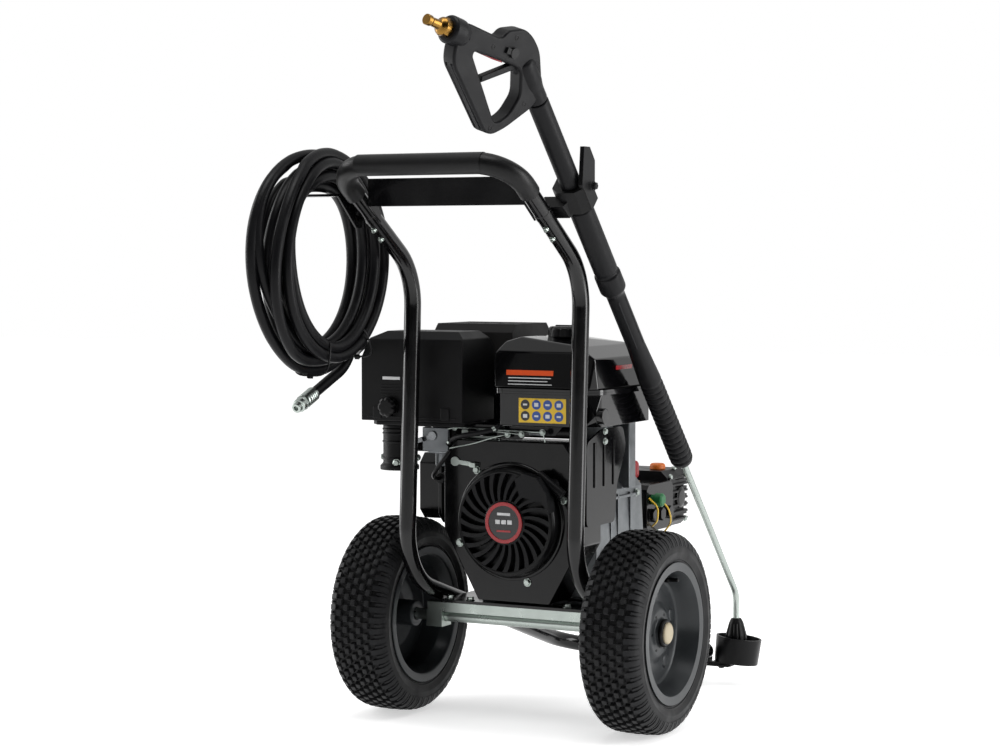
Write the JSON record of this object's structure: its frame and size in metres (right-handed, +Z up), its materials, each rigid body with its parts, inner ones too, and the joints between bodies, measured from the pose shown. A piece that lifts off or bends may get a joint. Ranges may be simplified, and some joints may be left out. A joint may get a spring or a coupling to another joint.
{
  "type": "pressure washer",
  "caption": "Wheeled petrol pressure washer: tube frame with a push handle, engine driving a high-pressure pump, spray gun and lance in holders, and a coiled hose on a hook.",
  "frame": {"origin": "on the ground, at the bottom centre of the machine without its hose", "axes": "+Z up, +X to the machine's right as seen from behind the handle, +Y forward to the pump"},
  "size_m": [0.5859, 1.0874, 1.1161],
  "materials": {
    "frame_paint": "gloss black powder coat",
    "engine_paint": "gloss black enamel on pressed steel",
    "tank_paint": "high gloss black enamel",
    "heat_paint": "matt black heat-resistant paint",
    "rim_paint": "satin grey enamel",
    "zinc_plate": "bright zinc plate",
    "steel": "machined steel",
    "cast_aluminium": "as-cast, sand finish",
    "brass": "turned brass",
    "black_plastic": "fine-grained moulded plastic",
    "cleaner_plastic": "fine-grained moulded plastic",
    "gun_plastic": "glass-filled moulded plastic",
    "grip_foam": "closed-cell foam rubber",
    "tyre_rubber": "matt turf tread rubber",
    "foot_rubber": "moulded rubber",
    "hose_rubber": "satin high-pressure hose cover",
    "red_plastic": "moulded plastic",
    "orange_plastic": "moulded plastic",
    "green_plastic": "moulded plastic",
    "cream_plastic": "moulded plastic",
    "label_yellow": "vinyl label",
    "label_blue": "vinyl label",
    "label_white": "vinyl label"
  },
  "bodies": {
    "root": {"frame_tube_left": "frame_paint", "frame_tube_right": "frame_paint", "front_cross_tube": "frame_paint", "handle_tube": "frame_paint", "handle_plate": "frame_paint", "engine_deck": "frame_paint", "hose_hook": "frame_paint", "rocker_cover": "engine_paint", "blower_housing": "engine_paint", "pump_crankcase": "engine_paint", "fuel_tank_lower": "tank_paint", "fuel_tank_upper": "tank_paint", "muffler": "heat_paint", "muffler_guard": "heat_paint", "axle_beam": "zinc_plate", "axle_bar": "zinc_plate", "spark_plug": "steel", "crankcase": "cast_aluminium", "cylinder_block": "cast_aluminium", "carburettor": "cast_aluminium", "bell_housing": "cast_aluminium", "pump_manifold": "cast_aluminium", "thermal_valve": "brass", "inlet_fitting": "brass", "recoil_cover": "black_plastic", "intake_resonator": "black_plastic", "lance_holder": "black_plastic", "nozzle_cup": "black_plastic", "air_cleaner_base": "cleaner_plastic", "air_cleaner_cover": "cleaner_plastic", "handle_grip": "grip_foam", "foot_left": "foot_rubber", "foot_right": "foot_rubber", "outlet_fitting": "green_plastic"},
    "wheel_left": {"tyre_left": "tyre_rubber", "rim_left": "rim_paint"},
    "wheel_right": {"tyre_right": "tyre_rubber", "rim_right": "rim_paint"},
    "crank": {"crankshaft": "steel", "flywheel_fan": "steel"},
    "starter_grip": {"recoil_handle": "black_plastic"},
    "cap": {"fuel_cap": "black_plastic"},
    "cleaner_nut": {"air_cleaner_knob": "cleaner_plastic"},
    "choke": {"choke_lever": "steel"},
    "fuel_valve": {"fuel_valve_lever": "zinc_plate"},
    "throttle": {"throttle_lever": "zinc_plate"},
    "pressure_knob": {"unloader_knob": "red_plastic"},
    "pump_cap": {"pump_oil_cap": "orange_plastic"},
    "dipstick": {"oil_dipstick": "black_plastic"},
    "lance": {"gun_body": "gun_plastic", "gun_inlet": "brass", "lance_sleeve": "gun_plastic", "lance_tube": "zinc_plate", "nozzle": "black_plastic"},
    "gun_trigger": {"trigger": "gun_plastic"},
    "gun_latch": {"trigger_latch": "red_plastic"},
    "hose": {"hose_coil": "hose_rubber", "hose_tail": "hose_rubber", "hose_end_coupling": "hose_rubber"},
    "hose_nut": {"hose_coupling": "zinc_plate"}
  },
  "joints": [
    {"name": "wheel_left_spin", "type": "hinge", "parent": "root", "child": "wheel_left", "pos_m": [-0.2295, 0.02424, 0.165], "axis": [1, 0, 0], "continuous": true},
    {"name": "wheel_right_spin", "type": "hinge", "parent": "root", "child": "wheel_right", "pos_m": [0.2295, 0.02424, 0.165], "axis": [1, 0, 0], "continuous": true},
    {"name": "crank_spin", "type": "hinge", "parent": "root", "child": "crank", "pos_m": [0, 0.02424, 0.336], "axis": [0, 1, 0], "continuous": true},
    {"name": "starter_pull", "type": "slide", "parent": "root", "child": "starter_grip", "axis": [0, -1, 0], "range_m": [0, 0.7], "stiffness_N_per_m": 15, "springref_m": -0.5},
    {"name": "fuel_cap_turn", "type": "hinge", "parent": "root", "child": "cap", "pos_m": [0.07, 0.05824, 0.638], "axis": [0, 0, 1], "range_deg": [0, 90]},
    {"name": "cleaner_knob_turn", "type": "hinge", "parent": "root", "child": "cleaner_nut", "pos_m": [-0.216, -0.03576, 0.52], "axis": [0, -1, 0], "range_deg": [0, 720]},
    {"name": "choke_swing", "type": "hinge", "parent": "root", "child": "choke", "pos_m": [-0.16, 0.00744, 0.47], "axis": [0, 1, 0], "range_deg": [-60, 10]},
    {"name": "fuel_valve_swing", "type": "hinge", "parent": "root", "child": "fuel_valve", "pos_m": [-0.104, -0.01356, 0.431], "axis": [0, 1, 0], "range_deg": [0, 45]},
    {"name": "throttle_swing", "type": "hinge", "parent": "root", "child": "throttle", "pos_m": [-0.044, 0.01824, 0.4683], "axis": [0, 0, 1], "range_deg": [-10, 20]},
    {"name": "pressure_knob_turn", "type": "hinge", "parent": "root", "child": "pressure_knob", "pos_m": [0.07, 0.32824, 0.3823], "axis": [0, 0, 1], "range_deg": [-360, 360]},
    {"name": "pump_cap_turn", "type": "hinge", "parent": "root", "child": "pump_cap", "pos_m": [0.008, 0.45424, 0.3873], "axis": [0, 0, 1], "range_deg": [0, 720]},
    {"name": "dipstick_turn", "type": "hinge", "parent": "root", "child": "dipstick", "pos_m": [0.1183, 0.17424, 0.268], "axis": [1, 0, 0], "range_deg": [0, 720]},
    {"name": "lance_lift", "type": "slide", "parent": "root", "child": "lance", "axis": [0, 0, 1], "range_m": [0, 0.12]},
    {"name": "trigger_pull", "type": "hinge", "parent": "lance", "child": "gun_trigger", "pos_m": [0.18459, -0.36022, 1.05205], "axis": [-0.9096, 0.302, 0.2853], "range_deg": [0, 15], "stiffness_Nm_per_rad": 0.4, "springref_deg": -20.05},
    {"name": "latch_turn", "type": "hinge", "parent": "lance", "child": "gun_latch", "pos_m": [0.18496, -0.37776, 1.07178], "axis": [-0.9096, 0.302, 0.2853], "range_deg": [0, 40]},
    {"name": "hose_lift", "type": "slide", "parent": "root", "child": "hose", "axis": [-0.4472, 0, 0.8944], "range_m": [0, 0.15]},
    {"name": "hose_nut_spin", "type": "hinge", "parent": "hose", "child": "hose_nut", "pos_m": [-0.232, -0.2499, 0.5524], "axis": [0, -0.927, -0.375], "continuous": true}
  ]
}
